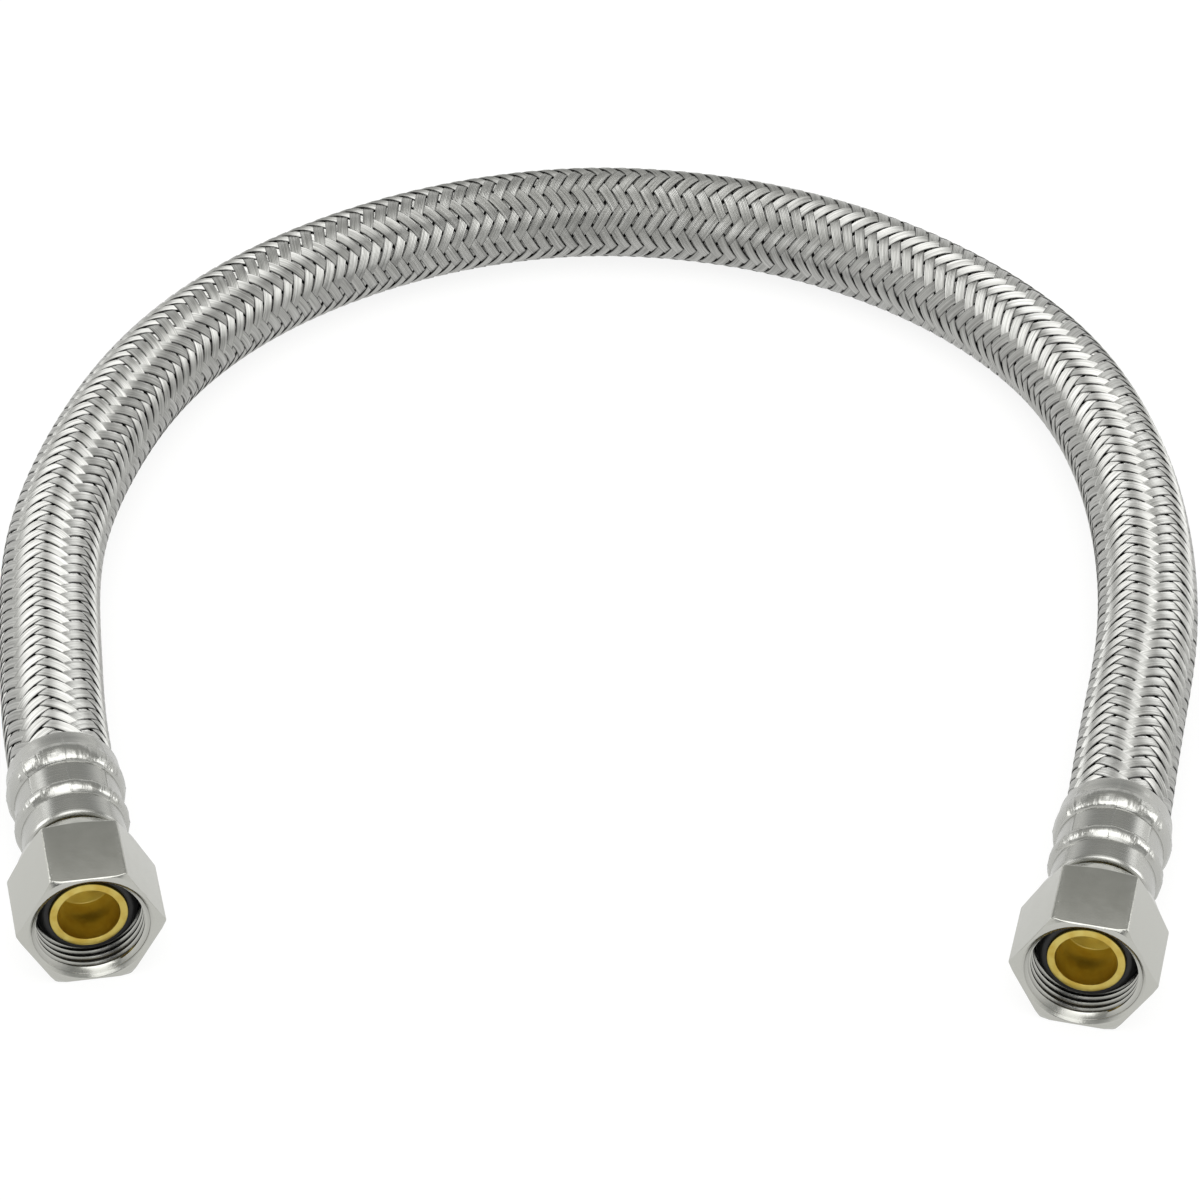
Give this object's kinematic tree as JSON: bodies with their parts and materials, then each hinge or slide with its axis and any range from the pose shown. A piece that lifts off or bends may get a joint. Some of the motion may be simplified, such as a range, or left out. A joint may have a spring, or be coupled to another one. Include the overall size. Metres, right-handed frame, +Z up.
{
  "type": "dishwasher connector",
  "caption": "Braided steel water connector hose for a dishwasher, with a crimped ferrule and a free-turning hexagonal compression nut at each end.",
  "frame": {"origin": "bottom centre of the box round the two metal ends, on the surface that the connector lies on", "axes": "+X from the left end to the right end, +Y from the mouths towards the bend, +Z up from the surface"},
  "size_m": [0.1598, 0.1796, 0.0159],
  "materials": {
    "braided_wire": "bright braided stainless wire",
    "inner_tube": "black reinforced tube",
    "crimped_sheet": "satin crimped sheet with bright bulges",
    "turned_brass": "turned, with faint tool marks",
    "black_rubber": "moulded, matt",
    "plated_nut": "bright nickel plating on brass"
  },
  "bodies": {
    "hose": {"braid": "braided_wire", "inner_tube": "inner_tube", "left_ferrule": "crimped_sheet", "right_ferrule": "crimped_sheet", "left_insert": "turned_brass", "right_insert": "turned_brass", "left_gasket": "black_rubber", "right_gasket": "black_rubber"},
    "left_nut": {"left_nut": "plated_nut"},
    "right_nut": {"right_nut": "plated_nut"}
  },
  "joints": [
    {"name": "left_nut_spin", "type": "hinge", "parent": "hose", "child": "left_nut", "pos_m": [-0.0593, -0.0136, 0.00794], "axis": [0.225, -0.9744, 0], "continuous": true},
    {"name": "right_nut_spin", "type": "hinge", "parent": "hose", "child": "right_nut", "pos_m": [0.06, -0.0156, 0.00794], "axis": [-0.1994, -0.9799, 0], "continuous": true}
  ]
}
